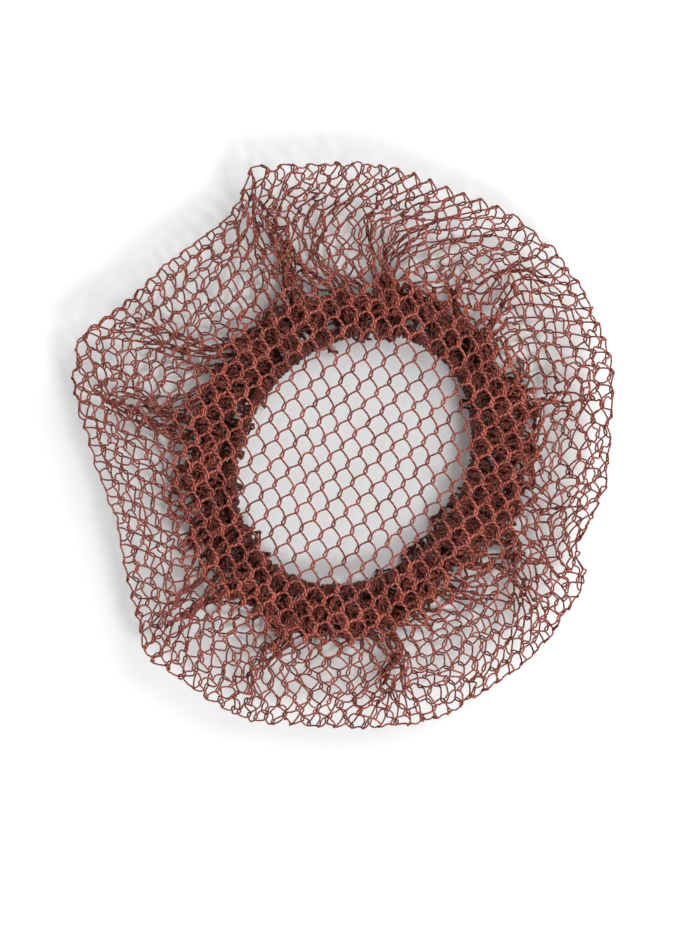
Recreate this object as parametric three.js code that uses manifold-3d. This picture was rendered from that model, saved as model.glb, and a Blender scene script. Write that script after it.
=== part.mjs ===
// Bun cover: a pouch of coarse hexagonal net, lying on its mouth with the crown up. Millimetres,
// +Z up. The origin is on the surface that it rests on, below the middle of its outline.
// The cloth is one closed wall: the crown, the fold round the outline, the underside band and the
// pleats that an elastic cord draws together round the mouth.
import * as THREE from 'three';
import Module from 'manifold-3d';

// Driving dimensions
const CLOTH_THICKNESS = 1.2;
const CROWN_HEIGHT = 12.6;        // middle of the cloth where the crown lies over the gathers
const CROWN_EDGE_HEIGHT = 10.6;   // middle of the cloth where the crown turns down
const CROWN_SAG = 1.5;            // the crown hangs this much at the middle of the mouth
const CROWN_FLAT_SHARE = 0.58;    // the crown slopes down outside this share of the outline
const FOLD_RADIUS = 1.7;
const RIM_WAVE = 0.45;            // the outline rises and falls by this much
const MOUTH = { x: 2.5, y: -3.2, longRadius: 27.7, shortRadius: 22.6, tilt: 55 };
const PLEAT_MIDDLE = 6.9;         // height of the cloth where a pleat starts
const PLEAT_RIDGE = 10.9;
const PLEAT_VALLEY = 0.4;         // below half the thickness, so the floor flattens the valleys
const PLEAT_FULL_DISTANCE = 36;   // nearer to the mouth's centre than this a pleat is full
const RIDGE_REACH = 42;           // ridges start this far from the mouth's centre
const PLEAT_SLOPE_ROWS = 3;       // steps from where a pleat starts to where it is full
const CORD_RADIUS = 0.8;
const CORD_HEIGHT = 5.8;
const CORD_INSET = 2.2;           // the cord runs this far outside the mouth's inner edge
const CORD_CLEARANCE = 0.3;
const CORD_STEPS = 52;
const CORD_SIDES = 6;
const OUTLINE_STEP = 3.75;        // degrees
const FOLD_STEPS = 3;
const CELL_PITCH = 11.7;
const CELL_TILT = -20;            // direction of a row of cells, in degrees from +X
const STRAND_WIDTH = 2.2;
const RIM_MARGIN = 1;             // cloth left between a gap and the fold
const CELL_LEAST_SHARE = 0.3;     // a cell that the rim cuts smaller than this share is left out
const UNDERSIDE_CELL_SHARE = 0.2; // half a gap's width, as a share of a pleat
const UNDERSIDE_CELL_MARGIN = 1.8;
const UNDERSIDE_CELL_LEAST = 4;   // a shorter gap is left out
const UNDERSIDE_CELL_STEP = 0.25; // a gap's outer end is found to this

// The outline from above, about the origin: each row is joined to the next by an arc or a line
const OUTLINE = [
  { angle: 13, radius: 60.6, next: 'arc' },
  { angle: 30, radius: 61.6, next: 'arc' },
  { angle: 48, radius: 62.2, next: 'arc' },
  { angle: 68, radius: 60.2, next: 'arc' },
  { angle: 107, radius: 62.2, next: 'line' },
  { angle: 116, radius: 55.6, next: 'line' },
  { angle: 124, radius: 54.3, next: 'line' },
  { angle: 157, radius: 61.5, next: 'arc' },
  { angle: 168, radius: 60.4, next: 'line' },
  { angle: 199, radius: 51.9, next: 'line' },
  { angle: 228, radius: 61.6, next: 'arc' },
  { angle: 250, radius: 62.7, next: 'arc' },
  { angle: 268, radius: 61.1, next: 'arc' },
  { angle: 285, radius: 62.6, next: 'arc' },
  { angle: 331, radius: 60.2, next: 'line' },
  { angle: 336, radius: 55.0, next: 'line' },
  { angle: 349, radius: 57.7, next: 'line' },
];

// The pleats, about the mouth's centre: the direction of each valley and how far out its fold dies
const PLEATS = [
  { angle: 5, reach: 45 },
  { angle: 21, reach: 48 },
  { angle: 41, reach: 45 },
  { angle: 62, reach: 52 },
  { angle: 82, reach: 49 },
  { angle: 97, reach: 43 },
  { angle: 112, reach: 56 },
  { angle: 130, reach: 43 },
  { angle: 145, reach: 45 },
  { angle: 158, reach: 53 },
  { angle: 174, reach: 49 },
  { angle: 194, reach: 43 },
  { angle: 216, reach: 52 },
  { angle: 234, reach: 46 },
  { angle: 248, reach: 49 },
  { angle: 263, reach: 45 },
  { angle: 278, reach: 53 },
  { angle: 297, reach: 43 },
  { angle: 319, reach: 50 },
  { angle: 335, reach: 46 },
  { angle: 350, reach: 43 },
];

// One pleat from ridge to ridge: where each column stands in the pleat, and whether it is in the
// valley (-1), on the ridge (1) or half way up the wall (0)
const PLEAT_SECTION = [
  { share: -0.35, level: 1 },
  { share: -0.25, level: 0 },
  { share: -0.15, level: -1 },
  { share: 0.15, level: -1 },
  { share: 0.25, level: 0 },
  { share: 0.35, level: 1 },
];

const radians = THREE.MathUtils.degToRad;
const degrees = THREE.MathUtils.radToDeg;
const lerp = THREE.MathUtils.lerp;
const smoothstep = THREE.MathUtils.smoothstep;

function turn(angle) {
  return ((angle % 360) + 360) % 360;
}

function steps(count) {
  return Array.from({ length: count }, (unused, index) => index);
}

function polar(radius, angle, centre = { x: 0, y: 0 }) {
  return new THREE.Vector2(
    centre.x + radius * Math.cos(radians(angle)),
    centre.y + radius * Math.sin(radians(angle)),
  );
}

// Distance from the origin to the outline, or to the straight chord where a row's line runs
function outlineRadius(angle) {
  const place = OUTLINE[0].angle + turn(angle - OUTLINE[0].angle);
  const row = OUTLINE.findLastIndex((corner) => corner.angle <= place);
  const from = OUTLINE[row];
  const to = OUTLINE[(row + 1) % OUTLINE.length];
  const span = turn(to.angle - from.angle);
  const along = place - from.angle;
  if (from.next === 'arc') {
    return lerp(from.radius, to.radius, along / span);
  }
  const before = from.radius * Math.sin(radians(along));
  const after = to.radius * Math.sin(radians(span - along));
  return (from.radius * to.radius * Math.sin(radians(span))) / (before + after);
}

// Distance from the mouth's centre to an oval that runs outside the mouth's inner edge by margin
function ovalRadius(angle, margin = 0) {
  const across = radians(angle - MOUTH.tilt);
  const long = MOUTH.longRadius + margin;
  const short = MOUTH.shortRadius + margin;
  return (long * short) / Math.hypot(short * Math.cos(across), long * Math.sin(across));
}

function fromMouth(x, y) {
  return {
    angle: degrees(Math.atan2(y - MOUTH.y, x - MOUTH.x)),
    distance: Math.hypot(x - MOUTH.x, y - MOUTH.y),
  };
}

function rimWave(angle) {
  return RIM_WAVE * (Math.sin(radians(5 * angle + 40)) + Math.sin(radians(9 * angle + 115)));
}

// Distance from the origin to the line where the crown and the underside turn into the fold
function foldLine(angle) {
  return outlineRadius(angle) - CLOTH_THICKNESS / 2 - FOLD_RADIUS;
}

function crownHeight(x, y) {
  const angle = degrees(Math.atan2(y, x));
  const slope = smoothstep(Math.hypot(x, y) / foldLine(angle), CROWN_FLAT_SHARE, 1);
  const mouth = fromMouth(x, y);
  const sag = CROWN_SAG * (1 - smoothstep(mouth.distance / ovalRadius(mouth.angle), 0, 1));
  return lerp(CROWN_HEIGHT, CROWN_EDGE_HEIGHT, slope) - sag + slope * rimWave(angle);
}

// Every column of the pleats, in order round the mouth, with where its fold starts
function pleatColumns() {
  return PLEATS.flatMap((pleat, index) => {
    const before = PLEATS[(index + PLEATS.length - 1) % PLEATS.length];
    const after = PLEATS[(index + 1) % PLEATS.length];
    const halfBefore = turn(pleat.angle - before.angle) / 2;
    const halfAfter = turn(after.angle - pleat.angle) / 2;
    return PLEAT_SECTION.map(({ share, level }) => ({
      angle: pleat.angle + 2 * share * (share < 0 ? halfBefore : halfAfter),
      level,
      reach: level < 0 ? pleat.reach : RIDGE_REACH,
    }));
  });
}

// Row 0 is where the pleat starts, and the last row is the mouth's inner edge
function pleatPoint(column, row) {
  const distance = row > PLEAT_SLOPE_ROWS
    ? ovalRadius(column.angle)
    : lerp(column.reach, PLEAT_FULL_DISTANCE, row / PLEAT_SLOPE_ROWS);
  const depth = 1 - smoothstep(distance, PLEAT_FULL_DISTANCE, column.reach);
  const top = column.level > 0 ? PLEAT_RIDGE : PLEAT_VALLEY;
  const at = polar(distance, column.angle, MOUTH);
  const height = lerp(PLEAT_MIDDLE, top, depth * Math.abs(column.level));
  return new THREE.Vector3(at.x, at.y, height);
}

// The cloth's middle surface. Seen from the pouch's outside its triangles turn anticlockwise.
class Sheet {
  constructor() {
    this.points = [];
    this.triangles = [];
    this.places = new Map();
  }

  point({ x, y, z }) {
    const place = [x, y, z].map((value) => Math.round(value * 1000)).join();
    if (!this.places.has(place)) {
      this.places.set(place, this.points.length);
      this.points.push(new THREE.Vector3(x, y, z));
    }
    return this.places.get(place);
  }

  // A flat outline with gaps, each point of which stands at its own height
  addPierced(outline, gaps, facesUp) {
    const points = [...outline, ...gaps.flat()];
    const indices = points.map((at) => this.point(at));
    const flat = (loop) => loop.map((at) => new THREE.Vector2(at.x, at.y));
    THREE.ShapeUtils.triangulateShape(flat(outline), gaps.map(flat)).forEach((corners) => {
      const turnsLeft = !THREE.ShapeUtils.isClockWise(corners.map((corner) => points[corner]));
      const ordered = turnsLeft === facesUp ? corners : [...corners].reverse();
      this.triangles.push(ordered.map((corner) => indices[corner]));
    });
  }

  // Closed rows of points, joined each to the next
  addRows(rows) {
    const indices = rows.map((row) => row.map((at) => this.point(at)));
    steps(rows.length - 1).forEach((row) => {
      steps(rows[row].length).forEach((column) => {
        const after = (column + 1) % rows[row].length;
        const [a, b] = [indices[row][column], indices[row][after]];
        const [c, d] = [indices[row + 1][after], indices[row + 1][column]];
        this.triangles.push([a, d, c], [a, c, b]);
      });
    });
  }

  // The mean direction of the triangles round each point, weighted by their angles there
  normals() {
    const normals = this.points.map(() => new THREE.Vector3());
    this.triangles.forEach((corners) => {
      const places = corners.map((corner) => this.points[corner]);
      const normal = new THREE.Triangle(...places).getNormal(new THREE.Vector3());
      corners.forEach((corner, index) => {
        const ahead = places[(index + 1) % 3].clone().sub(places[index]);
        const behind = places[(index + 2) % 3].clone().sub(places[index]);
        normals[corner].addScaledVector(normal, ahead.angleTo(behind));
      });
    });
    return normals.map((normal) => normal.normalize());
  }

  // Each directed edge that no neighbouring triangle shares
  openEdges() {
    const edges = new Map();
    this.triangles.forEach((corners) => {
      corners.forEach((corner, index) => {
        const next = corners[(index + 1) % 3];
        if (!edges.delete(`${next},${corner}`)) {
          edges.set(`${corner},${next}`, [corner, next]);
        }
      });
    });
    return [...edges.values()];
  }

  // The closed wall with this middle surface, flattened where it would pass below the floor
  thicken(thickness) {
    const normals = this.normals();
    const side = (share) => this.points.map((point, index) => {
      const moved = point.clone().addScaledVector(normals[index], share * thickness);
      return moved.setZ(Math.max(moved.z, 0));
    });
    const count = this.points.length;
    const inner = this.triangles.map(([a, b, c]) => [c + count, b + count, a + count]);
    const walls = this.openEdges().flatMap(([from, to]) => [
      [to, from, from + count],
      [to, from + count, to + count],
    ]);
    return solidFrom([...side(0.5), ...side(-0.5)], [...this.triangles, ...inner, ...walls]);
  }
}

function solidFrom(points, triangles) {
  const geometry = new THREE.BufferGeometry().setFromPoints(points);
  geometry.setIndex(triangles.flat());
  return geometry;
}

function insideRim({ x, y }, margin) {
  return Math.hypot(x, y) < foldLine(degrees(Math.atan2(y, x))) - margin;
}

function lift(loop, heightAt) {
  return loop.map(({ x, y }) => new THREE.Vector3(x, y, heightAt(x, y)));
}

function pulledInsideRim(at, margin) {
  const angle = degrees(Math.atan2(at.y, at.x));
  return polar(Math.min(at.length(), foldLine(angle) - margin), angle);
}

// The crown's gaps: a regular honeycomb, with the cells at the rim drawn in to leave a margin
function crownGaps() {
  const corner = (CELL_PITCH - STRAND_WIDTH) / Math.sqrt(3);
  const reach = Math.ceil(OUTLINE[0].radius / CELL_PITCH) + 1;
  const lines = steps(2 * reach + 1).map((index) => index - reach);
  const cells = lines.flatMap((row) => lines.map((column) => {
    const along = polar(CELL_PITCH * column, CELL_TILT);
    const centre = polar(CELL_PITCH * row, CELL_TILT + 60, along);
    return steps(6).map((side) => polar(corner, CELL_TILT + 30 + 60 * side, centre));
  }));
  const leastArea = CELL_LEAST_SHARE * THREE.ShapeUtils.area(cells[0]);
  return cells
    .filter((cell) => cell.some((at) => insideRim(at, RIM_MARGIN)))
    .map((cell) => cell.map((at) => pulledInsideRim(at, RIM_MARGIN)))
    .filter((cell) => THREE.ShapeUtils.area(cell) > leastArea);
}

// The underside rises from the pleats to the fold
function undersideHeight(x, y) {
  const angle = degrees(Math.atan2(y, x));
  const toFold = Math.max(foldLine(angle) - Math.hypot(x, y), 0);
  const toPleats = Math.max(fromMouth(x, y).distance - RIDGE_REACH, 0);
  const rim = polar(foldLine(angle), angle);
  const rimHeight = crownHeight(rim.x, rim.y) - 2 * FOLD_RADIUS;
  return lerp(PLEAT_MIDDLE, rimHeight, toPleats / (toPleats + toFold));
}

// The underside's gaps: one long cell outside each ridge, as wide as its valleys leave room for
function undersideGaps() {
  const near = RIDGE_REACH + UNDERSIDE_CELL_MARGIN;
  const cells = PLEATS.map((pleat, index) => {
    const spacing = turn(PLEATS[(index + 1) % PLEATS.length].angle - pleat.angle);
    const middle = pleat.angle + spacing / 2;
    const half = spacing * UNDERSIDE_CELL_SHARE;
    let far = OUTLINE[0].radius;
    while (![-half, 0, half].every((side) => (
      insideRim(polar(far, middle + side, MOUTH), UNDERSIDE_CELL_MARGIN)))) {
      far -= UNDERSIDE_CELL_STEP;
    }
    const at = (share, side) => polar(lerp(near, far, share), middle + side * half, MOUTH);
    return {
      length: far - near,
      loop: [at(0, 0), at(0.25, 1), at(0.75, 1), at(1, 0), at(0.75, -1), at(0.25, -1)],
    };
  });
  return cells.filter(({ length }) => length > UNDERSIDE_CELL_LEAST).map(({ loop }) => loop);
}

// The directions of the outline's points: every corner, and even steps between two corners
function outlineAngles() {
  return OUTLINE.flatMap(({ angle }, index) => {
    const span = turn(OUTLINE[(index + 1) % OUTLINE.length].angle - angle);
    const count = Math.max(1, Math.round(span / OUTLINE_STEP));
    return steps(count).map((step) => angle + (span * step) / count);
  });
}

function foldRow(angles, step) {
  const round = (Math.PI * step) / FOLD_STEPS;
  return angles.map((angle) => {
    const top = polar(foldLine(angle), angle);
    const out = polar(foldLine(angle) + FOLD_RADIUS * Math.sin(round), angle);
    const drop = FOLD_RADIUS * (1 - Math.cos(round));
    return new THREE.Vector3(out.x, out.y, crownHeight(top.x, top.y) - drop);
  });
}

function netSheet() {
  const sheet = new Sheet();
  const angles = outlineAngles();
  const columns = pleatColumns();
  const fold = steps(FOLD_STEPS + 1).map((step) => foldRow(angles, step));
  const pleats = steps(PLEAT_SLOPE_ROWS + 2).map((row) => (
    columns.map((column) => pleatPoint(column, row))));
  sheet.addPierced(fold[0], crownGaps().map((gap) => lift(gap, crownHeight)), true);
  sheet.addRows(fold);
  const undersideCuts = undersideGaps().map((gap) => lift(gap, undersideHeight));
  sheet.addPierced(fold[FOLD_STEPS], [pleats[0], ...undersideCuts], false);
  sheet.addRows(pleats);
  return sheet;
}

// A closed cord round the mouth, just outside its inner edge
function cordGeometry(radius) {
  const rows = steps(CORD_STEPS + 1).map((step) => {
    const angle = (360 * step) / CORD_STEPS;
    return steps(CORD_SIDES).map((side) => {
      const round = (2 * Math.PI * side) / CORD_SIDES;
      const distance = ovalRadius(angle, CORD_INSET) + radius * Math.cos(round);
      const at = polar(distance, angle, MOUTH);
      return new THREE.Vector3(at.x, at.y, CORD_HEIGHT + radius * Math.sin(round));
    });
  });
  const sheet = new Sheet();
  sheet.addRows(rows);
  return solidFrom(sheet.points, sheet.triangles);
}

function toSolid(geometry) {
  return new wasm.Manifold(new wasm.Mesh({
    numProp: 3,
    vertProperties: geometry.getAttribute('position').array,
    triVerts: Uint32Array.from(geometry.index.array),
  }));
}

function toGeometry(solid) {
  const { vertProperties, triVerts } = solid.getMesh();
  const geometry = new THREE.BufferGeometry();
  geometry.setAttribute('position', new THREE.BufferAttribute(vertProperties, 3));
  geometry.setIndex(new THREE.BufferAttribute(triVerts, 1));
  return geometry;
}

function namedMesh(name, geometry, material) {
  const mesh = new THREE.Mesh(geometry, new THREE.MeshStandardMaterial(material));
  mesh.name = name;
  return mesh;
}

const wasm = await Module();
wasm.setup();

const cordPath = toSolid(cordGeometry(CORD_RADIUS + CORD_CLEARANCE));
const net = toGeometry(toSolid(netSheet().thicken(CLOTH_THICKNESS)).subtract(cordPath));

const bunCover = new THREE.Group();
bunCover.add(
  namedMesh('net', net, { color: 0xa8564a, roughness: 0.75, metalness: 0 }),
  namedMesh('elastic_cord', cordGeometry(CORD_RADIUS), {
    color: 0x7a342c, roughness: 0.85, metalness: 0,
  }),
);

export default bunCover;
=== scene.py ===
"""Bun cover: the fine net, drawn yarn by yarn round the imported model, with its elastic and the light.

Lengths are in millimetres until a mesh is made. The net is worked out flat, as it was knitted, laid over
the crown, turned under at the outline and drawn together on the elastic, and then relaxed so that no
yarn is stretched. "Run" is how far the cloth reaches from the mouth's centre when it is flat, and
"distance" is how far from that centre it lies once it is laid.
"""

import math

import bpy
import numpy as np
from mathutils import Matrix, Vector
from mathutils.kdtree import KDTree


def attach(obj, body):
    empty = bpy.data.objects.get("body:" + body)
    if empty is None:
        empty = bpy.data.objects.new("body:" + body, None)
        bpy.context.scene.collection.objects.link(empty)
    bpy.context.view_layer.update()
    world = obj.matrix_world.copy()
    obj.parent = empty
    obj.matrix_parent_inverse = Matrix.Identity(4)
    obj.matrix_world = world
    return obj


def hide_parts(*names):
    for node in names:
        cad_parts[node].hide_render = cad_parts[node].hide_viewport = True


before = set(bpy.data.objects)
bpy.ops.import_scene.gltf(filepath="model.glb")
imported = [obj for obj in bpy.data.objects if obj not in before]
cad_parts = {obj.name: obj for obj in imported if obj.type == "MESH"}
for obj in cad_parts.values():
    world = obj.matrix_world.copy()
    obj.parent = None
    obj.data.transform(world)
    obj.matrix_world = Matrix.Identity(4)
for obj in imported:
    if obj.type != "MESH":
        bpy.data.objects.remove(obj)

MM = 0.001
TINY = 1e-6
UP = np.array((0.0, 0.0, 1.0))
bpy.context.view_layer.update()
RANDOM = np.random.default_rng(7)

# The net as it was knitted: the steps from a cell to its neighbours, the doubled side of a cell, the first
# node's place, the radius of the cut edge, and a pitch below that of the cells, to fill the whole disc
ACROSS = np.array((3.87, -1.4405))
ASLANT = np.array((-2.752, -2.4725))
DOUBLE_SIDE = np.array((-0.546, -1.562))
NET_PHASE = np.array((2.0, 7.07))
CUT_RADIUS = 144.5
LEAST_PITCH = 2.2

# The net's pieces by the run of the cloth: name, from, to
ZONES = (
    ("net_crown", 0.0, 52.0),
    ("net_rim", 52.0, 74.0),
    ("net_underside", 74.0, 92.0),
    ("net_tuck", 92.0, 108.0),
    ("net_second_tuck", 108.0, 123.0),
    ("net_gathers", 123.0, 133.0),
    ("net_mouth", 133.0, CUT_RADIUS),
)

# The yarn's radius over the window, at the rim and on the ring, how far bunched yarn swells towards that of
# the ring, the sides of its tube, and the run up to which its tube has twice as many rings
YARN_RADIUS = 0.214
RIM_YARN_RADIUS = 0.197
RING_YARN_RADIUS = 0.295
BUNCHED = 0.4
YARN_SIDES = 5
FINE_RUN = 72.0

# The ring seen from above, past the elastic's oval: where it sets in at the window, and where it fades out
RING_SETS_IN = (-3, 0)
RING_FADES = (9, 16)

# A yarn down its half of a doubled side: share of the side, and distance off the side's middle
DOUBLE_COURSE = (
    (0.0, 0.21),
    (0.45, 0.23),
    (0.8, 0.33),
)
# At the end it crosses to the other half: share of the side past its end, rise off the net, and how far off
# the middle it lands on the next doubled side
CROSSING_PAST = 0.07
CROSSING_RISE = 0.2
LANDING_OFF = 0.2

# A yarn along a single side: share of the way, and share of its bow
SINGLE_COURSE = (
    (0.25, 0.75),
    (0.5, 1.0),
    (0.75, 0.75),
)
# Its bow as a share of the side's length. It is slack, and curls, where its ends lie closer together than
# this share of the length it was knitted with
BOW = 0.05
SLACK_FROM = 0.9
SLACK_CURL = 0.45

# Weights of the near and the far points for a middle point on a smooth curve
NEAR_WEIGHT, FAR_WEIGHT = 0.5625, 0.0625

# Painted shade in the gathers, which darkens the yarn's colour by the yarn over it: grid cell, yarn cover
# overhead that does not count, loss of light, the least left, the further painted shade in the gathers on
# the elastic and the runs between which it sets in, and the painted light on the crown's yarn over the ring
PAINTED_SHADE_CELL = 1.3
PAINTED_SHADE_FREE = 0.25
PAINTED_SHADE_RATE = 0.72
PAINTED_SHADE_LEAST = 0.5
MOUTH_PAINTED_SHADE = 0.42
MOUTH_PAINTED_SHADE_RUNS = (118, 134)
CROWN_PAINTED_LIGHT = 0.16

# The crown and the fold, as in the solids: the crown sags within an oval this far inside the elastic, and
# the fold's line lies inside the solid's by a share of its radius
CROWN_HEIGHT = 12.6
CROWN_EDGE_HEIGHT = 10.6
CROWN_SAG = 1.5
CROWN_FLAT_SHARE = 0.58
WINDOW_INSET = 2.2
FOLD_RADIUS = 1.7
FOLD_INSET = 0.4

# Waves of the crown's edge: their height, and for each how many go round and its start in degrees
RIM_WAVE = 0.45
RIM_WAVES = (
    (5, 40),
    (9, 115),
)

# The cells of the crown are pushed together towards the rim: from which run, and by how much at the fold
EASED_FROM = 30.0
RIM_EASE = 0.075

# The outline: direction in degrees, distance from the origin, and how it runs to the next row
OUTLINE = (
    (13, 60.6, "arc"),
    (30, 61.6, "arc"),
    (48, 62.2, "arc"),
    (68, 60.2, "arc"),
    (100, 61.6, "arc"),
    (108, 63.4, "line"),
    (116, 55.6, "line"),
    (124, 54.3, "line"),
    (157, 61.5, "arc"),
    (168, 60.4, "line"),
    (199, 51.9, "line"),
    (227, 63.2, "line"),
    (233, 61.7, "arc"),
    (250, 62.7, "arc"),
    (268, 61.1, "arc"),
    (285, 62.6, "arc"),
    (331, 60.2, "line"),
    (336, 55.0, "line"),
    (349, 57.7, "line"),
)
SCALLOP = -0.3

# The mouth: the elastic's oval and its centre, its cord, and the painted shade of the gathers on it
MOUTH = np.array((2.5, -3.2))
ELASTIC_LONG = 29.9
ELASTIC_SHORT = 24.9
ELASTIC_TILT = math.radians(55)
ELASTIC_HEIGHT = 5.8
ELASTIC_RADIUS = 0.8
ELASTIC_SIDES = 14
ELASTIC_STEP = 2.5
ELASTIC_PAINTED_SHADE = 0.6

# The row of nodes that sits on the elastic: its run, half its width, and how far inside the oval it lies
ELASTIC_ROW = 141.0
ROW_HALF = 1.3
ROW_INSET = 0.4

# The yarns that bind the gathers to the elastic: number, loops in each and points to a loop; the range of
# its pace in radians a point, of its distance from the cord, and of its wandering along the cord
BINDING_YARNS = 3
BINDING_LOOPS = 160
BINDING_POINTS = 9
BINDING_PACE = (-0.3, 1.3)
BINDING_REACH = (0, 0.5)
BINDING_AHEAD = (-0.03, 0.03)
BINDING_WANDER = 0.7

# The tongues, bunches of narrow folds that run out towards the rim: direction in degrees, number of folds
TONGUES = (
    (18, 2),
    (52, 3),
    (84, 3),
    (109, 6),
    (147, 3),
    (166, 5),
    (219, 6),
    (245, 2),
    (279, 4),
    (327, 6),
    (344, 2),
)
TONGUE_SPACING = 1.8
TONGUE_SHARE = 0.97

# Directions of the folds that stay in the ring
RING_FOLDS = (
    4, 28, 36, 64, 74, 96, 121, 128, 136, 155, 180,
    188, 196, 204, 234, 256, 266, 292, 300, 308, 315, 352,
)

# Distances between which the even folds of the ring give way to the tongues, and the share of the spare
# cloth by which the cloth between the tongues is then drawn tight
HANDOVER = (34.0, 44.0)
TAUT = 0.13

# A fold: width of its foot and the most as a share of its cloth, height as a share of its own cloth, and
# how its cloth, direction and lean sway on the way out: strength, wavelength, step from fold to fold
FOLD_WIDTH = 2.2
FOOT_SHARE = 0.5
STANDING_SHARE = 0.9
SHARE_SWAY = (0.6, 2.8, 2.4)
DIRECTION_SWAY = (np.radians(2.2), 5.5, 1.9)
LEAN_SWAY = (0.4, 3.6, 2.1)

# Tangled yarns: how far beside a fold they still are, and the sizes of fold between which they set in
TANGLED_BESIDE = 2
TANGLED_FOLDS = (0.3, 1.0)

# The floor run: its slack, how far from the elastic it ends, and the way over which it sinks to the floor
FLOOR_SLACK = 1.14
FLOOR_END = 1
SINKING = (0, 16)

# The tucks in the ring: number, height of the lowest and the highest, range of their reach as a share of
# the ring's width, and how far the last one turns inward, and down over its last part
TUCKS = 2
RING_LOW, RING_HIGH = 1.0, 5.4
TUCK_REACH = (0.68, 1.4)
LAST_INWARD = 2
LAST_DROP = 2.5
LAST_DROPS = (0.6, 1)

# The heading, which is the cloth inside the elastic: its spread outward and its drop for each unit of run
HEADING_OUT = 0.6
HEADING_DROP = 0.7

# Width of the cloth round the mouth as a share of its width when flat: at the fold, how much less it is at
# the elastic, and the way past the fold over which it gets there
NARROWED = 0.97
NARROWED_FURTHER = 0.15
NARROWED_TO = ELASTIC_ROW - 60

# The ring's width: direction in degrees, width
RING_WIDTHS = (
    (0, 12.5),
    (45, 9.5),
    (90, 9.5),
    (135, 12.0),
    (180, 12.5),
    (225, 7.5),
    (270, 11.5),
    (315, 5.5),
)

# Ruffles that stand into the mouth: direction and half width in degrees, and how far
BULGES = (
    (82, 9, 4.2),
    (217, 9, 5.0),
    (312, 14, 2.5),
)

# Where the cloth warps, by its run and by its turn on the fold; and past the fold, where it gathers,
# crumples, lies in tongues, tangles, and has crushed cells
WARPED_RUNS = (36, 48)
WARPED_TURNS = (-5, 0)
GATHERED_PAST = (-2, 5)
CRUMPLED_PAST = (1, 12)
TONGUES_PAST = (0, 6)
TANGLED_PAST = (18, 34)
CRUSHED_PAST = (15, 23)
TONGUE_TANGLE = 2.2

# Wrinkles: shortest and longest wave, size along x, y and z, and where they are
WRINKLES = (
    (8, 22, (0.75, 0.75, 0.0), "warped"),
    (18, 45, (1.5, 1.5, 0.3), "crumpled"),
    (7, 20, (0.5, 0.5, 0.8), "crumpled"),
    (3.5, 8, (0.8, 0.8, 0.7), "tangled"),
    (6, 30, (0.12, 0.12, 0.15), "everywhere"),
)
WAVES = 14

# Unevenness of single nodes: everywhere, more where crumpled, and more where tangled
UNEVEN = 0.05
UNEVEN_CRUMPLED = 0.08
UNEVEN_TANGLED = 0.3

# The relaxation: its steps, the steps from one search for close yarns to the next, how many steps before
# the end the gathered yarns are shaken, how far, and the shares of that along x, y and z
STEPS = 240
SEARCH_EVERY = 12
SHAKEN_BEFORE_END = 14
SHAKE = 1.15
SHAKE_SHARES = (1, 1, 0.3)

# Limits in it, as shares of what was knitted: the least side and width of a cell and how much less they
# are where crushed, and the most width; the least gap between yarns, and the turn up to which cloth is held
LEAST_SIDE, LESS_SIDE = 0.8, 0.6
LEAST_WIDTH, LESS_WIDTH = 0.85, 0.65
MOST_WIDTH = 1.25
YARN_APART = 0.7
HELD_TO = math.pi - 0.3

# How strongly each limit pulls at a step
SIDE_PULL = 0.45
WIDTH_PULL = 0.14
APART_PULL = 0.3
ROW_PULL = 0.5

# Room below the cloth, and between it and the crown: past the fold, at the ring, and the runs between them
FLOOR_GAP = 0.3
CROWN_GAP = 0.55
RING_GAP = 3.8
GAP_RUNS = (75, 89)

# Yarn colours from dark to light, their places on the ramp, and what makes up the shade of a place, the
# plies' share being painted shade in their grooves
RAMP_PLACES = (0.37, 0.55, 0.78)
NET_COLOURS = ((0.06, 0.008, 0.005), (0.285, 0.056, 0.037), (0.68, 0.185, 0.133))
ELASTIC_COLOURS = ((0.08, 0.017, 0.013), (0.15, 0.033, 0.025), (0.22, 0.05, 0.037))
PLY_PAINTED_SHADE_SHARE, DRIFT_SHARE, FIBRE_SHARE = 0.32, 0.48, 0.3
FIBRE_RELIEF = 0.6

# Twist of a yarn: plies, length of a full turn in millimetres, depth of the relief in metres
NET_TWIST = (2, 1.1, 0.00012)
ELASTIC_TWIST = (6, 2.2, 0.00012)

# Disc lights: name, place and diameter in metres, watts
LIGHTS = (
    ("key", (0.58, -0.83, 1.12), 0.45, 12.6),
    ("fill", (0.80, 0.72, 1.20), 1.28, 15.4),
)
WORLD_LIGHT = 0.22

# The floor, in metres: half its size, and the ring over which its emission rises, from and to these
# strengths; the emission is painted light, dimmer under the cover as painted shade
FLOOR_HALF = 2
PAINTED_GLOW_RISE = (0.03, 0.08)
FLOOR_PAINTED_GLOW = (0.08, 0.24)

# The camera, straight above: the point below it, its height, and the width that it sees at a given height
LOOK = (1.5, -4.7)
CAMERA_HEIGHT = 1000.0
SEEN_WIDTH = 150.5
SEEN_AT = 9
SENSOR_WIDTH = 36


def smoothstep(value, low, high):
    """0 up to low and 1 from high on, with a smooth rise between."""
    t = np.clip((value - low) / (high - low), 0, 1)
    return t * t * (3 - 2 * t)


def polar(radius, angle):
    return np.stack((radius * np.cos(angle), radius * np.sin(angle)), axis=-1)


def from_mouth(points):
    """Direction and distance of points from the mouth's centre, seen from above."""
    apart = points[:, :2] - MOUTH
    return np.arctan2(apart[:, 1], apart[:, 0]), np.hypot(apart[:, 0], apart[:, 1])


def spans(points, pairs):
    """How far apart the two points of each pair are."""
    return np.linalg.norm(points[pairs[:, 0]] - points[pairs[:, 1]], axis=1)


def round_trip(angles, values):
    """A function of direction in radians, through values at the given angles in degrees."""
    return lambda at: np.interp(np.degrees(at) % 360, angles, values, period=360)


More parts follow.
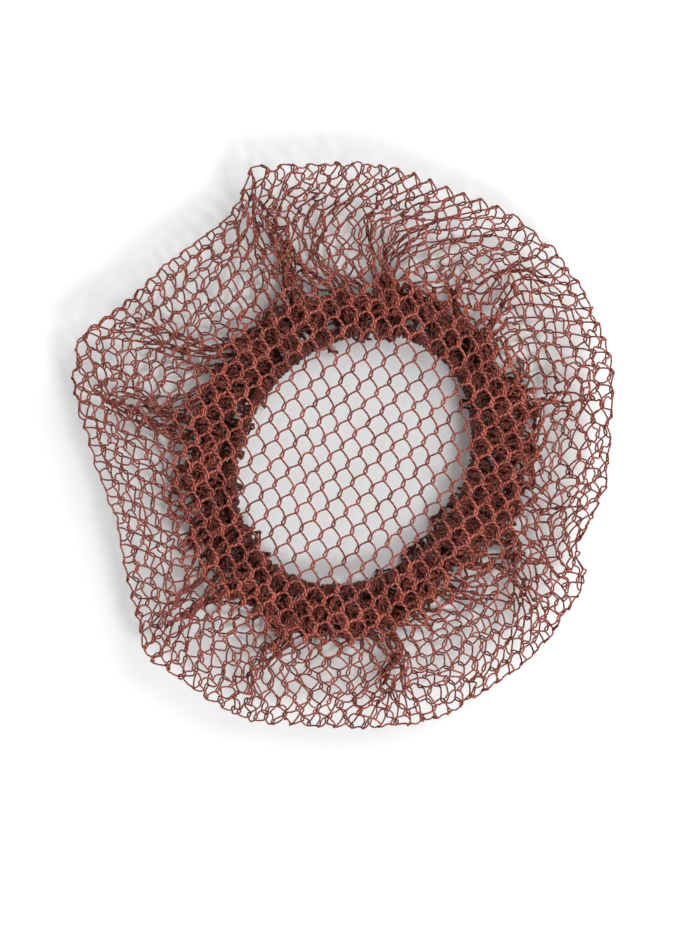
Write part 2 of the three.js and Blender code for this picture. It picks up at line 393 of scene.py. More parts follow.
def outline_at(degrees):
    """The outline's distance from the origin in one direction."""
    first_angle, last_angle = OUTLINE[0][0], OUTLINE[-1][0]
    rows = ((last_angle - 360, *OUTLINE[-1][1:]), *OUTLINE, (first_angle + 360, *OUTLINE[0][1:]))
    found = max(i for i, row in enumerate(rows[:-1]) if row[0] <= degrees)
    start, radius, kind = rows[found]
    end, next_radius, _ = rows[found + 1]
    share = (degrees - start) / (end - start)
    if kind == "arc":
        return radius + (next_radius - radius) * share
    span = math.radians(end - start)
    along = span * share
    return radius * next_radius * math.sin(span) / (
        radius * math.sin(along) + next_radius * math.sin(span - along)
    )


DEGREES = np.arange(0.0, 360.0, 1.0)
OUTLINE_RADII = np.array([outline_at(degrees) for degrees in DEGREES])
outline = round_trip(DEGREES, OUTLINE_RADII)
fold_directions, fold_distances = from_mouth(
    polar(OUTLINE_RADII - SCALLOP - FOLD_RADIUS, np.radians(DEGREES))
)
fold_from_mouth = round_trip(np.degrees(fold_directions) % 360, fold_distances)
ring_width = round_trip(*zip(*RING_WIDTHS))


def elastic(angle):
    """The elastic's distance from the mouth's centre."""
    turned = angle - ELASTIC_TILT
    return ELASTIC_LONG * ELASTIC_SHORT / np.hypot(
        ELASTIC_SHORT * np.cos(turned), ELASTIC_LONG * np.sin(turned)
    )


def crown_height(place):
    """The crown's height over places: it slopes to the rim, waves there and sags over the mouth."""
    angle = np.arctan2(place[:, 1], place[:, 0])
    share = np.hypot(place[:, 0], place[:, 1]) / (outline(angle) - SCALLOP - FOLD_RADIUS)
    slope = smoothstep(share, CROWN_FLAT_SHARE, 1)
    mouth_angle, distance = from_mouth(place)
    mouth_share = distance / (elastic(mouth_angle) - WINDOW_INSET)
    wave = RIM_WAVE * sum(np.sin(number * angle + math.radians(start)) for number, start in RIM_WAVES)
    sag = CROWN_SAG * (1 - smoothstep(mouth_share, 0, 1))
    return CROWN_HEIGHT + (CROWN_EDGE_HEIGHT - CROWN_HEIGHT) * slope - sag + slope * wave


def knit_flat():
    """The net on the flat: each cell's first node, the nodes' places, and the sides between nodes."""
    reach = int(CUT_RADIUS / LEAST_PITCH)
    tops = {}
    places = []
    for across in range(-reach, reach):
        for aslant in range(-reach, reach):
            top = NET_PHASE + across * ACROSS + aslant * ASLANT
            middle = top + DOUBLE_SIDE / 2
            if np.hypot(*(middle - MOUTH)) < CUT_RADIUS:
                tops[across, aslant] = len(places)
                places += [top, top + DOUBLE_SIDE]
    doubles, downs, slants = [], [], []
    for (across, aslant), top in tops.items():
        doubles.append((top, top + 1))
        below = tops.get((across + 1, aslant + 1))
        beside = tops.get((across, aslant + 1))
        if below is not None:
            downs.append((top + 1, below))
        if beside is not None:
            slants.append((top + 1, beside))
    return tops, np.array(places), np.array(doubles + downs + slants)


def cell_partners(tops):
    """Pairs of nodes that face each other across a cell's width or height."""
    pairs = []
    for (across, aslant), top in tops.items():
        for step in ((1, 0), (0, 1), (1, 1)):
            other = tops.get((across + step[0], aslant + step[1]))
            if other is not None:
                pairs += [(top, other), (top + 1, other + 1)]
    return np.array(pairs)


def sector_shares(directions):
    """How much of the full turn lies nearest to each direction."""
    ahead = (np.roll(directions, -1) - directions) % 360
    return (ahead + np.roll(ahead, 1)) / (2 * 360)


def all_folds():
    """Each fold's direction in order round the mouth, and its share of the spare cloth beyond the ring."""
    rows = [(direction, 0.0) for direction in RING_FOLDS]
    sectors = sector_shares(np.array([direction for direction, _ in TONGUES], float))
    folds = np.array([count for _, count in TONGUES], float)
    shares = (1 - TONGUE_SHARE) * sectors + TONGUE_SHARE * folds / folds.sum()
    for (direction, count), share in zip(TONGUES, shares):
        first = direction - TONGUE_SPACING * (count - 1) / 2
        rows += [(first + TONGUE_SPACING * k, share / count) for k in range(count)]
    return np.array(sorted(rows))


FOLD_DIRECTIONS, OUTER_SHARES = all_folds().T
RING_SHARES = sector_shares(FOLD_DIRECTIONS)
tuck_reaches = [
    round_trip(FOLD_DIRECTIONS, RANDOM.uniform(*TUCK_REACH, len(FOLD_DIRECTIONS)))
    for _ in range(TUCKS)
]


def sway(row, distance, number):
    """How the numbered folds sway with distance."""
    strength, wavelength, step = row
    return strength * np.sin(distance / wavelength + number * step)


def fold_shares(distance):
    """For each node's distance, how much of the spare cloth each fold takes up."""
    in_ring = 1 - smoothstep(distance, *HANDOVER)[:, None]
    shares = OUTER_SHARES + (RING_SHARES - OUTER_SHARES) * in_ring
    shares = shares * (1 + sway(SHARE_SWAY, distance[:, None], np.arange(len(FOLD_DIRECTIONS))))
    return shares / shares.sum(axis=1, keepdims=True)


def gather(angle, distance, spare):
    """Draws the spare cloth round the mouth together in folds.

    Gives each node's direction, how far it stands off in a fold, its nearest fold's number, and how
    tangled it is there, from 0 to 1.
    """
    directions = np.radians(FOLD_DIRECTIONS)
    bent = directions + sway(DIRECTION_SWAY, distance[:, None], np.arange(len(directions)))
    taut = TAUT * spare * smoothstep(distance, *HANDOVER)
    stretch = distance * math.tau / (distance * math.tau - taut)
    shares = fold_shares(distance) * (spare + taut)[:, None]
    passed_before = np.cumsum(shares, axis=1) - shares
    centres = (distance / stretch)[:, None] * bent + passed_before + shares / 2
    width = np.minimum(FOLD_WIDTH, shares * FOOT_SHARE)
    half = (shares + width) / 2
    cloth = (angle % math.tau) * (distance + spare / math.tau)
    past = cloth[:, None] - centres
    turned = (cloth - (shares * (past > 0)).sum(axis=1)) * stretch / distance
    nearest = np.argmin(np.abs(past), axis=1)
    rows = np.arange(len(angle))
    here = past[rows, nearest]
    reach = np.maximum(half[rows, nearest], TINY)
    on_wall = np.abs(here) < reach
    along = np.clip(here / reach, -1, 1)
    height = np.where(on_wall, (1 - np.abs(along)) * reach, 0)
    on_fold = bent[rows, nearest] + along * width[rows, nearest] / 2 / distance
    on_fold = on_fold + sway(LEAN_SWAY, distance, nearest) * height / distance
    tangled = np.exp(-(here / (reach + TANGLED_BESIDE)) ** 4) * smoothstep(reach, *TANGLED_FOLDS)
    return np.where(on_wall, on_fold, turned), height * STANDING_SHARE, nearest, tangled


def wrinkle(flat, shortest, longest):
    """Smooth random shifts over the flat net, about 1 in size, with wavelengths in millimetres."""
    total = np.zeros((len(flat), 3))
    for _ in range(WAVES):
        heading, start = RANDOM.uniform(0, math.tau), RANDOM.uniform(0, math.tau, 3)
        number = math.tau / RANDOM.uniform(shortest, longest)
        along = flat @ np.array((math.cos(heading), math.sin(heading))) * number
        total += np.sin(along[:, None] + start) * RANDOM.normal(0, 1, 3)
    return total / math.sqrt(WAVES / 2)


def lay_crown(angle, run, fold, fold_run):
    """Places on the crown: the cells are pushed together towards the fold."""
    eased = (fold_run - fold) * (np.maximum(run - EASED_FROM, 0) / (fold_run - EASED_FROM)) ** 2
    crown = MOUTH + polar(run - eased, angle)
    return np.column_stack((crown, crown_height(crown)))


def lay_rim(angle, turn, fold, rim_height):
    """Places on the fold, by how far the cloth has turned round it."""
    around = np.clip(turn, 0, math.pi)
    rim = MOUTH + polar(fold + FOLD_RADIUS * np.sin(around), angle)
    return np.column_stack((rim, rim_height - FOLD_RADIUS * (1 - np.cos(around))))


def lay_under(angle, run, past, fold, fold_run, rim_height):
    """Places of the cloth past the fold, and how tangled it is.

    It runs along the floor to the ring, to and fro there in tucks, and up to the elastic.
    """
    floor_run = (fold - elastic(angle) - FLOOR_END) * FLOOR_SLACK
    tuck = (ELASTIC_ROW - fold_run - math.pi * FOLD_RADIUS - floor_run) / (2 * TUCKS)
    inward = np.minimum(past, floor_run) / FLOOR_SLACK
    swing = np.clip((past - floor_run) / tuck, 0, 2 * TUCKS)
    heading = np.maximum(past - floor_run - 2 * TUCKS * tuck, 0)
    out = 1 - np.abs(swing % 2 - 1)
    reach = np.where(swing < 2, tuck_reaches[0](angle), tuck_reaches[1](angle)) * ring_width(angle)
    last = np.maximum(swing - (2 * TUCKS - 1), 0)
    bulge = sum(
        depth * np.exp(-((np.degrees(angle) - direction + 180) % 360 - 180) ** 2 / half ** 2)
        for direction, half, depth in BULGES
    )
    distance = fold - inward + out * reach - last * LAST_INWARD + heading * HEADING_OUT
    distance = distance - bulge * smoothstep(swing, 1, 2) * (1 - out)
    lowered = smoothstep(inward, *SINKING)
    base = (rim_height - 2 * FOLD_RADIUS) * (1 - lowered) + RING_LOW * lowered
    base = base + (RING_HIGH - RING_LOW) * swing / (2 * TUCKS) - LAST_DROP * smoothstep(last, *LAST_DROPS)
    base = base - heading * HEADING_DROP

    # The folds stand up in the lower tuck, hang down in the upper one, and alternate at the elastic
    narrow = NARROWED - NARROWED_FURTHER * smoothstep(past, 0, NARROWED_TO)
    spare = np.maximum(run * narrow - distance, 0) * math.tau * smoothstep(past, *GATHERED_PAST)
    turned, height, fold_number, tangled = gather(angle, distance, spare)
    direction = 1 - 2 * smoothstep(swing, TUCKS - 0.3, TUCKS + 0.3)
    both_ways = smoothstep(last, 0.2, 0.8)
    direction = direction * (1 - both_ways) + both_ways * (1 - 2 * (fold_number % 2))
    return np.column_stack((MOUTH + polar(distance, turned), base + height * direction)), tangled


def lay(flat):
    """Lays the flat net on: places, which nodes the crown and fold hold, their runs, and how crushed."""
    angle, run = from_mouth(flat)
    fold = fold_from_mouth(angle) - FOLD_INSET * FOLD_RADIUS
    fold_run = fold * (1 + RIM_EASE)
    turn = (run - fold_run) / FOLD_RADIUS
    past = np.maximum(run - fold_run - math.pi * FOLD_RADIUS, 0)
    rim_height = crown_height(MOUTH + polar(fold, angle))

    crown = lay_crown(angle, run, fold, fold_run)
    rim = lay_rim(angle, turn, fold, rim_height)
    lower, tangled = lay_under(angle, run, past, fold, fold_run, rim_height)
    place = np.where((turn < 0)[:, None], crown, rim)
    under = turn > math.pi
    place[under] = lower[under]

    in_tongues = smoothstep(past, *TONGUES_PAST)
    tangle = np.maximum(smoothstep(past, *TANGLED_PAST), TONGUE_TANGLE * tangled * in_tongues)
    where = {
        "warped": smoothstep(run, *WARPED_RUNS) * (1 - smoothstep(turn, *WARPED_TURNS)),
        "crumpled": smoothstep(past, *CRUMPLED_PAST),
        "tangled": tangle,
        "everywhere": np.ones(len(flat)),
    }
    for shortest, longest, size, name in WRINKLES:
        place += wrinkle(flat, shortest, longest) * size * where[name][:, None]
    uneven = UNEVEN + UNEVEN_CRUMPLED * where["crumpled"] + UNEVEN_TANGLED * tangle
    place += RANDOM.normal(0, 1, place.shape) * uneven[:, None]
    crushed = np.maximum(smoothstep(past, *CRUSHED_PAST), tangled * in_tongues)
    return place, turn < HELD_TO, run, crushed


def pull(move, place, pairs, least, most, share):
    """Adds the moves that bring each pair's distance back between least and most."""
    apart = place[pairs[:, 1]] - place[pairs[:, 0]]
    far = np.maximum(np.linalg.norm(apart, axis=1), TINY)
    excess = np.minimum(far - least, 0)
    if most is not None:
        excess = excess + np.maximum(far - most, 0)
    step = apart * (excess / far * share)[:, None]
    np.add.at(move, pairs[:, 0], step)
    np.add.at(move, pairs[:, 1], -step)


def close_pairs(place, sides, held):
    """Pairs of nodes that lie too close, where no side joins them and at least one can move."""
    tree = KDTree(len(place))
    for index, at in enumerate(place):
        tree.insert(at, index)
    tree.balance()
    joined = set(map(tuple, sides)) | set((b, a) for a, b in sides)
    pairs = []
    for index in np.nonzero(~held)[0]:
        for _, other, _ in tree.find_range(place[index], YARN_APART):
            listed = other < index and not held[other]
            if other != index and not listed and (index, other) not in joined:
                pairs.append((index, other))
    return np.array(pairs, int).reshape(-1, 2)


def relax(place, flat, sides, partners, held, run, crushed, steps):
    """Moves the places so that no side is longer than it was knitted and the cells stay open."""
    lengths, widths = spans(flat, sides), spans(flat, partners)
    free = np.where(held, 0.0, 1.0)
    under = ~held
    row = np.abs(run - ELASTIC_ROW) < ROW_HALF
    ceiling = CROWN_GAP + (RING_GAP - CROWN_GAP) * smoothstep(run, *GAP_RUNS)
    shortest = lengths * (LEAST_SIDE - LESS_SIDE * crushed[sides[:, 0]])
    least = widths * (LEAST_WIDTH - LESS_WIDTH * crushed[partners[:, 0]])
    for step in range(steps):
        if step == steps - SHAKEN_BEFORE_END:
            place += RANDOM.normal(0, SHAKE, place.shape) * SHAKE_SHARES * (crushed * free)[:, None]
        if step % SEARCH_EVERY == 0:
            close = close_pairs(place, sides, held)
        move = np.zeros_like(place)
        pull(move, place, sides, shortest, lengths, SIDE_PULL)
        place += move * free[:, None]
        move = np.zeros_like(place)
        pull(move, place, partners, least, widths * MOST_WIDTH, WIDTH_PULL)
        if len(close):
            pull(move, place, close, np.full(len(close), YARN_APART), None, APART_PULL)
        place += move * free[:, None]
        angle, _ = from_mouth(place[row])
        goal = MOUTH + polar(elastic(angle) - ROW_INSET, angle)
        place[row, :2] += (goal - place[row, :2]) * ROW_PULL
        roof = crown_height(place[:, :2]) - ceiling
        place[under, 2] = np.clip(place[under, 2], FLOOR_GAP, roof[under])


def yarn_sides(tops, place):
    """The direction across and the outward normal of the net at each doubled side."""

    def node_or(cell, offset, otherwise):
        top = tops.get(cell)
        return otherwise if top is None else place[top + offset]

    across, outward = {}, {}
    for (i, j), top in tops.items():
        start, end = place[top], place[top + 1]
        left = node_or((i - 1, j - 1), 1, start) + node_or((i, j + 1), 0, end)
        right = node_or((i, j - 1), 1, start) + node_or((i + 1, j + 1), 0, end)
        along = end - start
        along = along / max(np.linalg.norm(along), TINY)
        wide = right - left
        wide = wide - along * np.dot(wide, along)
        wide = wide / max(np.linalg.norm(wide), TINY)
        across[top] = wide
        outward[top] = np.cross(along, wide)
    return across, outward


def single_side(begin, goal, upward, knitted):
    """Points between two doubled sides: the yarn bows upward, and curls where it is slack."""
    chord = goal - begin
    reach = max(np.linalg.norm(chord), TINY)
    rise = upward - chord * np.dot(upward, chord) / reach ** 2
    rise = rise / max(np.linalg.norm(rise), TINY)
    curl = np.cross(chord / reach, RANDOM.normal(0, 1, 3))
    slack = math.sqrt(max((SLACK_FROM * knitted) ** 2 - reach ** 2, 0))
    curl = curl / np.linalg.norm(curl) * slack * SLACK_CURL
    return [begin + chord * share + (rise * reach * BOW + curl) * bow for share, bow in SINGLE_COURSE]


def yarn_route(cells, tops, place, across, outward, side):
    """Points along one yarn: down one half of each doubled side, across to the other, and on to the next."""
    points, owners = [], []
    knitted = np.linalg.norm((ACROSS if side > 0 else 0) + ASLANT - DOUBLE_SIDE)
    for cell, following in zip(cells, cells[1:] + [None]):
        top = tops[cell]
        start, end = place[top], place[top + 1]
        wide, out = across[top] * side, outward[top]
        step = end - start
        points += [start + step * share - wide * off for share, off in DOUBLE_COURSE]
        points.append(end + step * CROSSING_PAST + out * CROSSING_RISE * side)
        owners += [top] * (len(DOUBLE_COURSE) + 1)
        if following is not None:
            after = tops[following]
            goal = place[after] - across[after] * side * LANDING_OFF
            points += single_side(points[-1], goal, place[after] - place[after + 1], knitted)
            owners += [top] * len(SINGLE_COURSE)
    return np.array(points), np.array(owners)


def refine(points, owners, finer):
    """Adds a point on the smooth curve through the points, between each two where finer is set."""
    before = np.vstack((points[:1], points[:-2]))
    after = np.vstack((points[2:], points[-1:]))
    middles = (points[:-1] + points[1:]) * NEAR_WEIGHT - (before + after) * FAR_WEIGHT
    kept = finer[:-1]
    order = np.concatenate((np.arange(len(points)), np.nonzero(kept)[0] + 0.5))
    merged = np.vstack((points, middles[kept]))
    names = np.concatenate((owners, owners[:-1][kept]))
    sort = np.argsort(order, kind="stable")
    return merged[sort], names[sort]


def knitted_yarns(tops, place, run, crushed):
    """Each yarn of the net: its points, their runs, and how bunched they are."""
    across, outward = yarn_sides(tops, place)
    yarns = []
    for side, step in ((1, (1, 1)), (-1, (0, 1))):
        for cell in sorted(tops):
            if (cell[0] - step[0], cell[1] - step[1]) in tops:
                continue
            cells = []
            while cell in tops:
                cells.append(cell)
                cell = (cell[0] + step[0], cell[1] + step[1])
            points, owners = yarn_route(cells, tops, place, across, outward, side)
            points, owners = refine(points, owners, run[owners] < FINE_RUN)
            points[:, 2] = np.maximum(points[:, 2], RING_YARN_RADIUS)
            yarns.append((points, run[owners], crushed[owners]))
    return yarns


def binding():
    """One of the yarns that wander round the elastic in small loops and hold the gathers on it."""
    count = BINDING_LOOPS * BINDING_POINTS
    turns = np.arange(count) / count
    marks = np.linspace(0, 1, BINDING_LOOPS)
    pace = np.interp(turns, marks, RANDOM.uniform(*BINDING_PACE, BINDING_LOOPS))
    spin = RANDOM.uniform(0, math.tau) + np.cumsum(pace)
    off = np.interp(turns, marks, RANDOM.uniform(*BINDING_REACH, BINDING_LOOPS))
    reach = ELASTIC_RADIUS + YARN_RADIUS + off
    ahead = np.interp(turns, marks, RANDOM.uniform(*BINDING_AHEAD, BINDING_LOOPS))
    around = turns * math.tau + ahead * np.sin(spin * BINDING_WANDER)
    line = MOUTH + polar(elastic(around) + reach * np.cos(spin), around)
    points = np.column_stack((line, ELASTIC_HEIGHT + reach * np.sin(spin)))
    return points, np.full(count, CUT_RADIUS), np.zeros(count)


def past_mouth(points):
    """How far outside the elastic's oval each point lies, seen from above."""
    angle, distance = from_mouth(points)
    return distance - elastic(angle)


def on_ring(points):
    """1 over the ring of gathers, down to 0 over the open mouth and the rim."""
    past = past_mouth(points)
    return smoothstep(past, *RING_SETS_IN) * (1 - smoothstep(past, *RING_FADES))


def yarn_radius(points, bunched):
    """The yarn lies thick on the ring, less so in the tongues, and fine over the open mouth and the rim."""
    thin = YARN_RADIUS + (RIM_YARN_RADIUS - YARN_RADIUS) * smoothstep(past_mouth(points), *RING_FADES)
    return thin + (RING_YARN_RADIUS - thin) * np.maximum(on_ring(points), BUNCHED * bunched)


def painted_shade_at(routes):
    """Painted shade, a colour factor at each point of the yarns for how much light reaches it: less where
    more yarn lies over it.
    """
    points = np.concatenate(routes)
    steps = np.concatenate([np.linalg.norm(np.gradient(route, axis=0), axis=1) for route in routes])
    low = points.min(axis=0) - 2 * PAINTED_SHADE_CELL
    cells = ((points - low) / PAINTED_SHADE_CELL).astype(int)
    cover = np.zeros(cells.max(axis=0) + 3)
    np.add.at(cover, tuple(cells.T), steps * 2 * YARN_RADIUS / PAINTED_SHADE_CELL ** 2)
    for axis in (0, 1):
        cover = (np.roll(cover, 1, axis) + cover + np.roll(cover, -1, axis)) / 3
    above = np.cumsum(cover[:, :, ::-1], axis=2)[:, :, ::-1] - cover / 2
    depth = np.maximum(above[tuple(cells.T)] - PAINTED_SHADE_FREE, 0)
    return PAINTED_SHADE_LEAST + (1 - PAINTED_SHADE_LEAST) * np.exp(-depth * PAINTED_SHADE_RATE)


def all_painted_shading(routes, runs):
    """The painted shade along each yarn: darkest in the gathers on the elastic, with painted light on the
    crown above them.
    """
    run = np.concatenate(runs)
    painted_deep_shade = 1 - MOUTH_PAINTED_SHADE * smoothstep(run, *MOUTH_PAINTED_SHADE_RUNS)
    # Painted light: the crown's yarn over the ring is made lighter
    crown_painted_light = 1 + CROWN_PAINTED_LIGHT * on_ring(np.concatenate(routes)) * (run < FINE_RUN)
    ends = np.cumsum([len(route) for route in routes])[:-1]
    return np.split(painted_shade_at(routes) * painted_deep_shade * crown_painted_light, ends)


def lengths_along(points):
    """The distance along a line of points at each of them."""
    steps = np.linalg.norm(np.diff(points, axis=0), axis=1)
    return np.concatenate(([0], np.cumsum(steps)))


def rings_along(points, radius, sides):
    """Rings of a tube on a line of points."""
    tangents = np.gradient(points, axis=0)
    tangents /= np.maximum(np.linalg.norm(tangents, axis=1), TINY)[:, None]
    normals = np.empty_like(points)
    seed = UP if abs(tangents[0][2]) < 0.9 else np.array((1.0, 0.0, 0.0))
    normal = seed - tangents[0] * np.dot(seed, tangents[0])
    for index, tangent in enumerate(tangents):
        normal = normal - tangent * np.dot(normal, tangent)
        normal = normal / max(np.linalg.norm(normal), TINY)
        normals[index] = normal
    sideways = np.cross(tangents, normals)
    turns = (np.arange(sides) / sides * math.tau)[:, None]
    spokes = normals[:, None] * np.cos(turns) + sideways[:, None] * np.sin(turns)
    return points[:, None] + spokes * radius[:, None, None]


def elastic_tube():
    """The elastic's closed tube: its rings, the distances along it, and its painted shade."""
    around = np.radians(np.arange(0, 360, ELASTIC_STEP))
    height = np.full(len(around), ELASTIC_HEIGHT)
    oval = np.column_stack((MOUTH + polar(elastic(around), around), height))
    tangents = np.roll(oval, -1, axis=0) - np.roll(oval, 1, axis=0)
    tangents /= np.linalg.norm(tangents, axis=1)[:, None]
    outward = np.cross(tangents, UP)
    turns = (np.arange(ELASTIC_SIDES) / ELASTIC_SIDES * math.tau)[:, None]
    spokes = outward[:, None] * np.cos(turns) + UP * np.sin(turns)
    rings = oval[:, None] + ELASTIC_RADIUS * spokes
    return rings, lengths_along(oval), np.full(len(rings), ELASTIC_PAINTED_SHADE)


def add_object(name, data):
    made = bpy.data.objects.new(name, data)
    bpy.context.scene.collection.objects.link(made)
    return made


def tube_mesh(name, tubes, closed=False):
    """One mesh of many tubes, each (rings, lengths, painted shade and light): capped, or joined end to end
    when closed.
    """
    corners, faces, maps, painted_shade_values = [], [], [], []
    base = 0
    for rings, lengths, painted_shading in tubes:
        count, sides = rings.shape[:2]
        corners.append(rings.reshape(-1, 3))
        painted_shade_values.append(np.repeat(painted_shading, sides))
        for ring in range(count if closed else count - 1):
            after = (ring + 1) % count
            begin = lengths[ring]
            end = lengths[after] if after else lengths[-1] + lengths[1]
            here, there = base + ring * sides, base + after * sides
            for k in range(sides):
                n = (k + 1) % sides
                left, right = k / sides, (k + 1) / sides
                faces.append((here + k, here + n, there + n, there + k))
                maps += [begin, left, begin, right, end, right, end, left]
        if not closed:
            last = base + (count - 1) * sides
            faces.append(tuple(base + k for k in reversed(range(sides))))
            faces.append(tuple(last + k for k in range(sides)))
            maps += [lengths[0], 0.5] * sides
            maps += [lengths[-1], 0.5] * sides
        base += count * sides
    mesh = bpy.data.meshes.new(name)
    mesh.from_pydata((np.concatenate(corners) * MM).tolist(), [], faces)
    along = mesh.uv_layers.new(name="along")
    along.data.foreach_set("uv", np.array(maps, np.float32))
    # The painted shade and painted light, which scale the yarn's colour in its material
    shade = mesh.attributes.new("shade", "FLOAT", "POINT")
    shade.data.foreach_set("value", np.concatenate(painted_shade_values).astype(np.float32))
    mesh.polygons.foreach_set("use_smooth", np.ones(len(mesh.polygons), bool))
    mesh.update()
    return add_object(name, mesh)


def zone_tubes(yarns, painted_shading):
    """The net's tubes by piece: each yarn is cut where it passes from one zone to the next."""
    tubes = {name: [] for name, _, _ in ZONES}
    first_runs = [first for _, first, _ in ZONES]
    for (points, runs, bunched), shade in zip(yarns, painted_shading):
        rings = rings_along(points, yarn_radius(points, bunched), YARN_SIDES)
        lengths = lengths_along(points)
        zone = np.searchsorted(first_runs, runs, side="right") - 1
        cuts = np.concatenate(([0], np.nonzero(np.diff(zone))[0] + 1, [len(zone)]))
        for start, stop in zip(cuts[:-1], cuts[1:]):
            part = slice(start, min(stop + 1, len(zone)))
            if part.stop - part.start > 1:
                tubes[ZONES[zone[start]][0]].append((rings[part], lengths[part], shade[part]))
    return tubes


def half_surface(piece):
    """Half the area of the piece's faces, in square metres."""
    areas = np.empty(len(piece.data.polygons))
    piece.data.polygons.foreach_get("area", areas)
    return areas.sum() / 2


def node(tree, kind, **settings):
    made = tree.nodes.new(kind)
    for key, value in settings.items():
        setattr(made, key, value)
    return made


def math_node(tree, operation, *values):
    """A math node on values, each a number or another node's output. Gives its own output."""
    made = node(tree, "ShaderNodeMath", operation=operation)
    for slot, value in enumerate(values):
        if isinstance(value, (int, float)):
            made.inputs[slot].default_value = value
        else:
            tree.links.new(value, made.inputs[slot])
    return made.outputs[0]


def noise(tree, places, scale, detail):
    made = node(tree, "ShaderNodeTexNoise", noise_dimensions="3D")
    made.inputs["Scale"].default_value = scale
    made.inputs["Detail"].default_value = detail
    tree.links.new(places.outputs["Object"], made.inputs["Vector"])
    return made.outputs["Fac"]


def new_material(name, values):
    """A material with these values on its shader's sockets. Gives it, its tree and its shader."""
    material = bpy.data.materials.new(name)
    material.use_nodes = True
    surface = material.node_tree.nodes["Principled BSDF"]
    for key, value in values.items():
        surface.inputs[key].default_value = value
    return material, material.node_tree, surface


def yarn_material(name, colours, plies, turn_length, relief):
    """Twisted yarn: slanting plies round it, darker in their grooves as painted shade, and tones that drift
    along it.
    """
    material, tree, surface = new_material(name, {
        "Roughness": 0.62,
        "Specular IOR Level": 0.35,
        "Sheen Weight": 0.2,
        "Sheen Roughness": 0.5,
        "Sheen Tint": (0.95, 0.55, 0.48, 1),
    })
    uv = node(tree, "ShaderNodeUVMap", uv_map="along")
    parts = node(tree, "ShaderNodeSeparateXYZ")
    tree.links.new(uv.outputs["UV"], parts.inputs[0])
    along = math_node(tree, "MULTIPLY", parts.outputs["X"], 1 / turn_length)
    around = math_node(tree, "MULTIPLY", parts.outputs["Y"], plies)
    turn = math_node(tree, "MULTIPLY", math_node(tree, "ADD", along, around), math.tau)
    ply = math_node(tree, "MULTIPLY_ADD", math_node(tree, "SINE", turn), 0.5, 0.5)
    places = node(tree, "ShaderNodeTexCoord")
    drift = noise(tree, places, 260.0, 3.0)
    fibre = noise(tree, places, 6500.0, 2.0)

    # The plies' grooves are darker: painted shade
    ply_painted_shade = math_node(tree, "MULTIPLY", ply, PLY_PAINTED_SHADE_SHARE)
    drift_shade = math_node(tree, "MULTIPLY", drift, DRIFT_SHARE)
    fibre_shade = math_node(tree, "MULTIPLY", fibre, FIBRE_SHARE)
    shade = math_node(tree, "ADD", ply_painted_shade, math_node(tree, "ADD", drift_shade, fibre_shade))
    ramp = node(tree, "ShaderNodeValToRGB")
    stops = ramp.color_ramp.elements
    stops[0].position, stops[1].position = RAMP_PLACES[0], RAMP_PLACES[2]
    stops.new(RAMP_PLACES[1])
    for stop, colour in zip(stops, colours):
        stop.color = (*colour, 1)
    tree.links.new(shade, ramp.inputs["Fac"])
    # Painted shade and painted light from the mesh's shade attribute scale the colour
    depth = node(tree, "ShaderNodeAttribute", attribute_name="shade")
    painted_shade_colour = node(tree, "ShaderNodeVectorMath", operation="SCALE")
    tree.links.new(ramp.outputs["Color"], painted_shade_colour.inputs[0])
    tree.links.new(depth.outputs["Fac"], painted_shade_colour.inputs["Scale"])
    tree.links.new(painted_shade_colour.outputs["Vector"], surface.inputs["Base Color"])

    bump = node(tree, "ShaderNodeBump")
    bump.inputs["Strength"].default_value = 0.6
    bump.inputs["Distance"].default_value = relief
    raised = math_node(tree, "ADD", ply, math_node(tree, "MULTIPLY", fibre, FIBRE_RELIEF))
    tree.links.new(raised, bump.inputs["Height"])
    tree.links.new(bump.outputs["Normal"], surface.inputs["Normal"])
    return material


def floor_material():
    """Matt white that glows a little as painted light, more so away from the cover, so that it is dimmer
    under the cover as painted shade.
    """
    material, tree, surface = new_material("floor_white", {
        "Base Color": (0.87, 0.885, 0.888, 1),
        "Roughness": 0.9,
        "Emission Color": (0.98, 1, 1, 1),
    })
    spot = node(tree, "ShaderNodeNewGeometry")
    distance = node(tree, "ShaderNodeVectorMath", operation="LENGTH")
    tree.links.new(spot.outputs["Position"], distance.inputs[0])
    painted_glow = node(tree, "ShaderNodeMapRange", interpolation_type="SMOOTHSTEP")
    painted_glow.inputs["From Min"].default_value, painted_glow.inputs["From Max"].default_value = PAINTED_GLOW_RISE
    painted_glow.inputs["To Min"].default_value, painted_glow.inputs["To Max"].default_value = FLOOR_PAINTED_GLOW
    tree.links.new(distance.outputs["Value"], painted_glow.inputs["Value"])
    tree.links.new(painted_glow.outputs["Result"], surface.inputs["Emission Strength"])
    return material


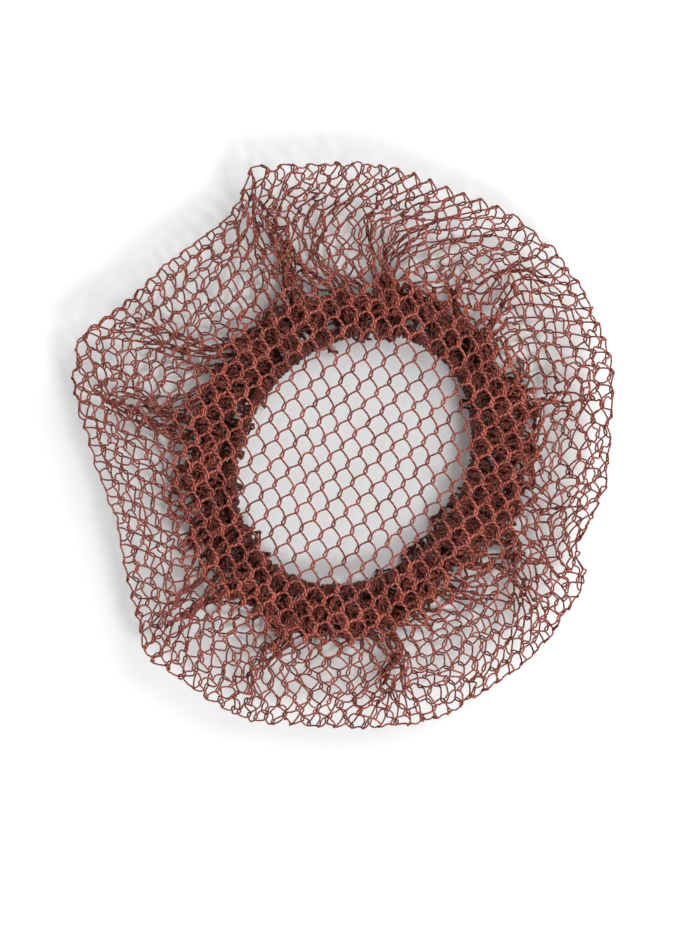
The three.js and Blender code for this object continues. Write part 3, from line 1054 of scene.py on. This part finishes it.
def soft_light(name, place, diameter, watts):
    """A disc light that faces the origin."""
    data = bpy.data.lights.new(name, "AREA")
    data.shape = "DISK"
    data.size = diameter
    data.energy = watts
    light = add_object(name, data)
    light.location = place
    light.rotation_euler = (-Vector(place)).to_track_quat("-Z", "Y").to_euler()


# The net, flat, laid on and relaxed, and its yarns
tops, flat, sides = knit_flat()
place, held, run, crushed = lay(flat)
steps = STEPS
relax(place, flat, sides, cell_partners(tops), held, run, crushed, steps)
yarns = knitted_yarns(tops, place, run, crushed)
yarns += [binding() for _ in range(BINDING_YARNS)]
routes, runs, _ = zip(*yarns)
net_tubes = zone_tubes(yarns, all_painted_shading(routes, runs))

yarn = yarn_material("terracotta_yarn", NET_COLOURS, *NET_TWIST)
for name, inner, outer in ZONES:
    piece = tube_mesh(name, net_tubes[name])
    piece.data.materials.append(yarn)
    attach(piece, "root")
    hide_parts("net")
    half_surface(piece)

# The elastic
cord = tube_mesh("elastic", [elastic_tube()], closed=True)
cord.data.materials.append(yarn_material("elastic_cover", ELASTIC_COLOURS, *ELASTIC_TWIST))
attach(cord, "root")
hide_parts("elastic_cord")

# The floor
floor_mesh = bpy.data.meshes.new("floor")
corner_signs = ((-1, -1), (1, -1), (1, 1), (-1, 1))
floor_mesh.from_pydata([(x * FLOOR_HALF, y * FLOOR_HALF, 0) for x, y in corner_signs], [], [(0, 1, 2, 3)])
floor_mesh.materials.append(floor_material())
floor = add_object("floor", floor_mesh)

# The light
world = bpy.data.worlds.new("studio")
world.use_nodes = True
world.node_tree.nodes["Background"].inputs["Color"].default_value = (1, 1, 1, 1)
world.node_tree.nodes["Background"].inputs["Strength"].default_value = WORLD_LIGHT
bpy.context.scene.world = world
for row in LIGHTS:
    soft_light(*row)
bpy.context.scene.view_settings.view_transform = "Standard"

# The camera
camera_data = bpy.data.cameras.new("camera")
camera_data.sensor_fit = "HORIZONTAL"
camera_data.sensor_width = SENSOR_WIDTH
camera_data.lens = SENSOR_WIDTH * (CAMERA_HEIGHT - SEEN_AT) / SEEN_WIDTH
camera = add_object("camera", camera_data)
camera.location = (LOOK[0] * MM, LOOK[1] * MM, CAMERA_HEIGHT * MM)
bpy.context.scene.camera = camera
